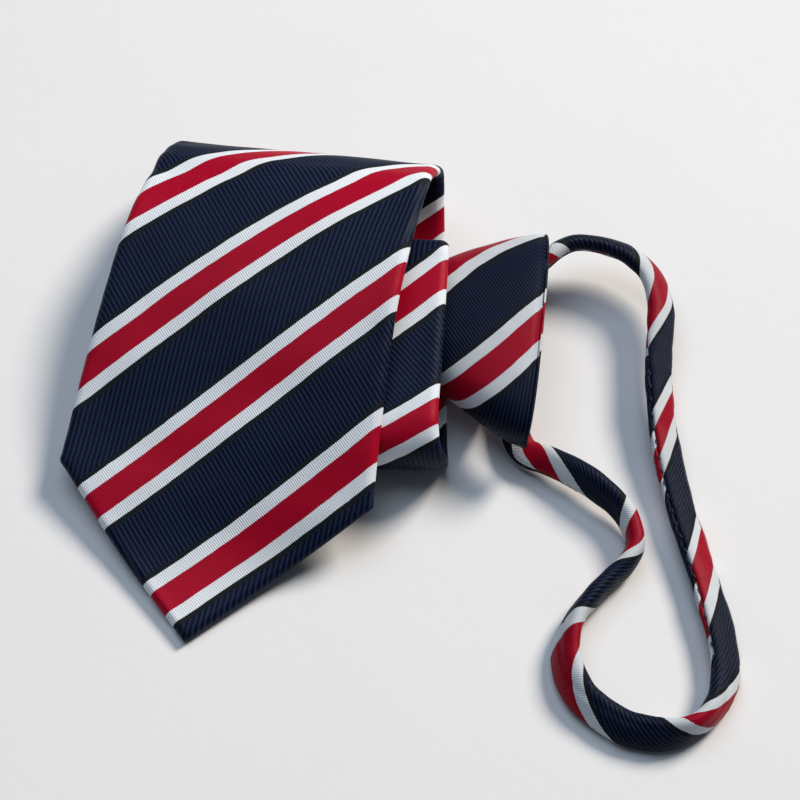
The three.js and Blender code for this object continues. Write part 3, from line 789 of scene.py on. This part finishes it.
def pale_floor():
    material = bpy.data.materials.new("pale_floor")
    material.use_nodes = True
    n = Nodes(material)
    out = n.add("ShaderNodeOutputMaterial")
    shader = n.add("ShaderNodeBsdfPrincipled")
    n.link(shader.outputs[0], out.inputs[0])
    where = n.add("ShaderNodeTexCoord")
    big = n.add("ShaderNodeTexNoise")
    big.inputs["Scale"].default_value = 9.0
    big.inputs["Detail"].default_value = 6.0
    n.link(where.outputs["Object"], big.inputs["Vector"])
    small = n.add("ShaderNodeTexNoise")
    small.inputs["Scale"].default_value = 240.0
    small.inputs["Detail"].default_value = 5.0
    n.link(where.outputs["Object"], small.inputs["Vector"])
    tint = n.mix(big.outputs[0], (0.775, 0.785, 0.800), (0.835, 0.838, 0.845))
    n.link(tint, shader.inputs["Base Color"])
    shader.inputs["Roughness"].default_value = 0.9
    bump = n.add("ShaderNodeBump")
    bump.inputs["Strength"].default_value = 0.25
    bump.inputs["Distance"].default_value = 0.0006
    n.link(n.math("ADD", n.math("MULTIPLY", big.outputs[0], 2.0), n.math("MULTIPLY", small.outputs[0], 0.35)), bump.inputs["Height"])
    n.link(bump.outputs[0], shader.inputs["Normal"])
    return material


# ---- the pieces ----------------------------------------------------------------
# one cloth in three copies: the last number paints the blade's copy brighter and the knot's and strap's darker, as
# painted light for how the light falls on each piece
blade = build_blade(woven("blade_weave", painted_light_gain=1.17))
knot = build_knot(woven("knot_weave", (0.411, 0.649), (0.769, 0.181), 999.0, 0.90))
strap, stitches = build_strap(woven("strap_weave", (-0.096, -0.585), (0.082, -0.586), 999.0, 0.88), sewing_thread())

for piece, node, slot in ((blade, "blade", "blade_fabric"), (knot, "knot", "knot_fabric"), (strap, "neck_strap", "strap_fabric")):
    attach(piece, "root")
    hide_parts(node)
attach(stitches, "root")

# ---- floor, light, camera --------------------------------------------------------
floor_mesh = bpy.data.meshes.new("floor")
floor_mesh.from_pydata([(-3, -3, -0.0001), (3, -3, -0.0001), (3, 3, -0.0001), (-3, 3, -0.0001)], [], [(0, 1, 2, 3)])
floor_mesh.materials.append(pale_floor())
floor = bpy.data.objects.new("floor", floor_mesh)
bpy.context.scene.collection.objects.link(floor)

world = bpy.data.worlds.new("studio")
bpy.context.scene.world = world
world.use_nodes = True
background = world.node_tree.nodes["Background"]
background.inputs[0].default_value = (0.716, 0.842, 1.0, 1)
background.inputs[1].default_value = 0.09


def lamp(name, size, energy, color, direction, distance):
    light = bpy.data.lights.new(name, "AREA")
    light.shape = "DISK"
    light.size = size
    light.energy = energy
    light.color = color
    thing = bpy.data.objects.new(name, light)
    way = np.array(direction) / np.linalg.norm(direction)
    thing.location = tuple(way * distance)
    thing.rotation_euler = Vector(way).to_track_quat("Z", "Y").to_euler()
    bpy.context.scene.collection.objects.link(thing)


lamp("key", 1.0, 97.0, (1.0, 0.91, 0.80), (0.88, 0.78, 1.0), 3.0)
lamp("fill", 2.0, 20.5, (0.71, 0.836, 1.0), (-0.15, 0.35, 1.0), 2.2)

camera = bpy.data.cameras.new("camera")
camera.sensor_fit = "HORIZONTAL"
camera.sensor_width = 36.0
camera.lens = 2145.0 / 800.0 * 36.0
camera.clip_start = 0.01
camera_object = bpy.data.objects.new("camera", camera)
elevation = math.radians(59.0)
camera_object.location = (
    -CENTRE_X / 1000,
    -CENTRE_Y / 1000 - 0.550 * math.cos(elevation),
    0.550 * math.sin(elevation),
)
camera_object.rotation_euler = (math.pi / 2 - elevation, 0, 0)
bpy.context.scene.collection.objects.link(camera_object)
bpy.context.scene.camera = camera_object

view = bpy.context.scene.view_settings
view.view_transform = "Standard"
view.look = "None"
view.exposure = 0.0
view.gamma = 1.0
